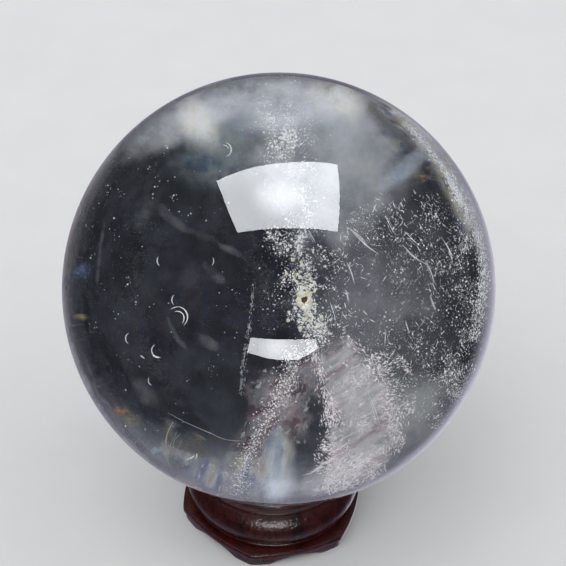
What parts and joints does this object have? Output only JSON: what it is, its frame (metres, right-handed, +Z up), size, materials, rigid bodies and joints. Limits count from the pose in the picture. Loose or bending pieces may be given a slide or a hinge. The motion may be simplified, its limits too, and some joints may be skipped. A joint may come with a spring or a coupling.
{
  "type": "crystal ball on stand",
  "caption": "Polished ball of natural clear rock crystal with veils, needles and fractures inside, resting loose on a small turned and carved dark hardwood stand.",
  "frame": {"origin": "on the table, straight below the centre of the ball", "axes": "+Z up through the centre of the stand and the ball, -Y towards the viewer, +X to the viewer's right"},
  "size_m": [0.08, 0.08, 0.097],
  "materials": {
    "ring_wood": "dark reddish-brown hardwood, turned, high-gloss lacquer",
    "plate_wood": "dark reddish-brown hardwood, carved, gloss lacquer",
    "rock_crystal": "natural clear quartz, polished, index of refraction 1.544",
    "cream_mineral": "matt cream grain with a dark middle",
    "white_veil": "healed fracture: fine white specks in clear quartz",
    "mauve_veil": "healed fracture: fine specks with a faint mauve cast",
    "grey_haze": "cloudy quartz",
    "bright_needle": "bright glints",
    "fracture": "thin air film that shows faint rainbow colours"
  },
  "bodies": {
    "stand": {"seat_ring": "ring_wood", "foot_plate": "plate_wood"},
    "ball": {"quartz_ball": "rock_crystal", "mineral_grain": "cream_mineral", "central_veil": "white_veil", "wing_veil": "mauve_veil", "upper_haze": "grey_haze", "milky_patch": "grey_haze", "rim_veil": "white_veil", "lower_cloud": "mauve_veil", "needles": "bright_needle", "crescents": "bright_needle", "fracture_film": "fracture", "seam_fracture": "fracture"}
  },
  "joints": [
    {"name": "ball_lift", "type": "slide", "parent": "stand", "child": "ball", "axis": [0, 0, 1], "range_m": [0, 0.05]}
  ]
}
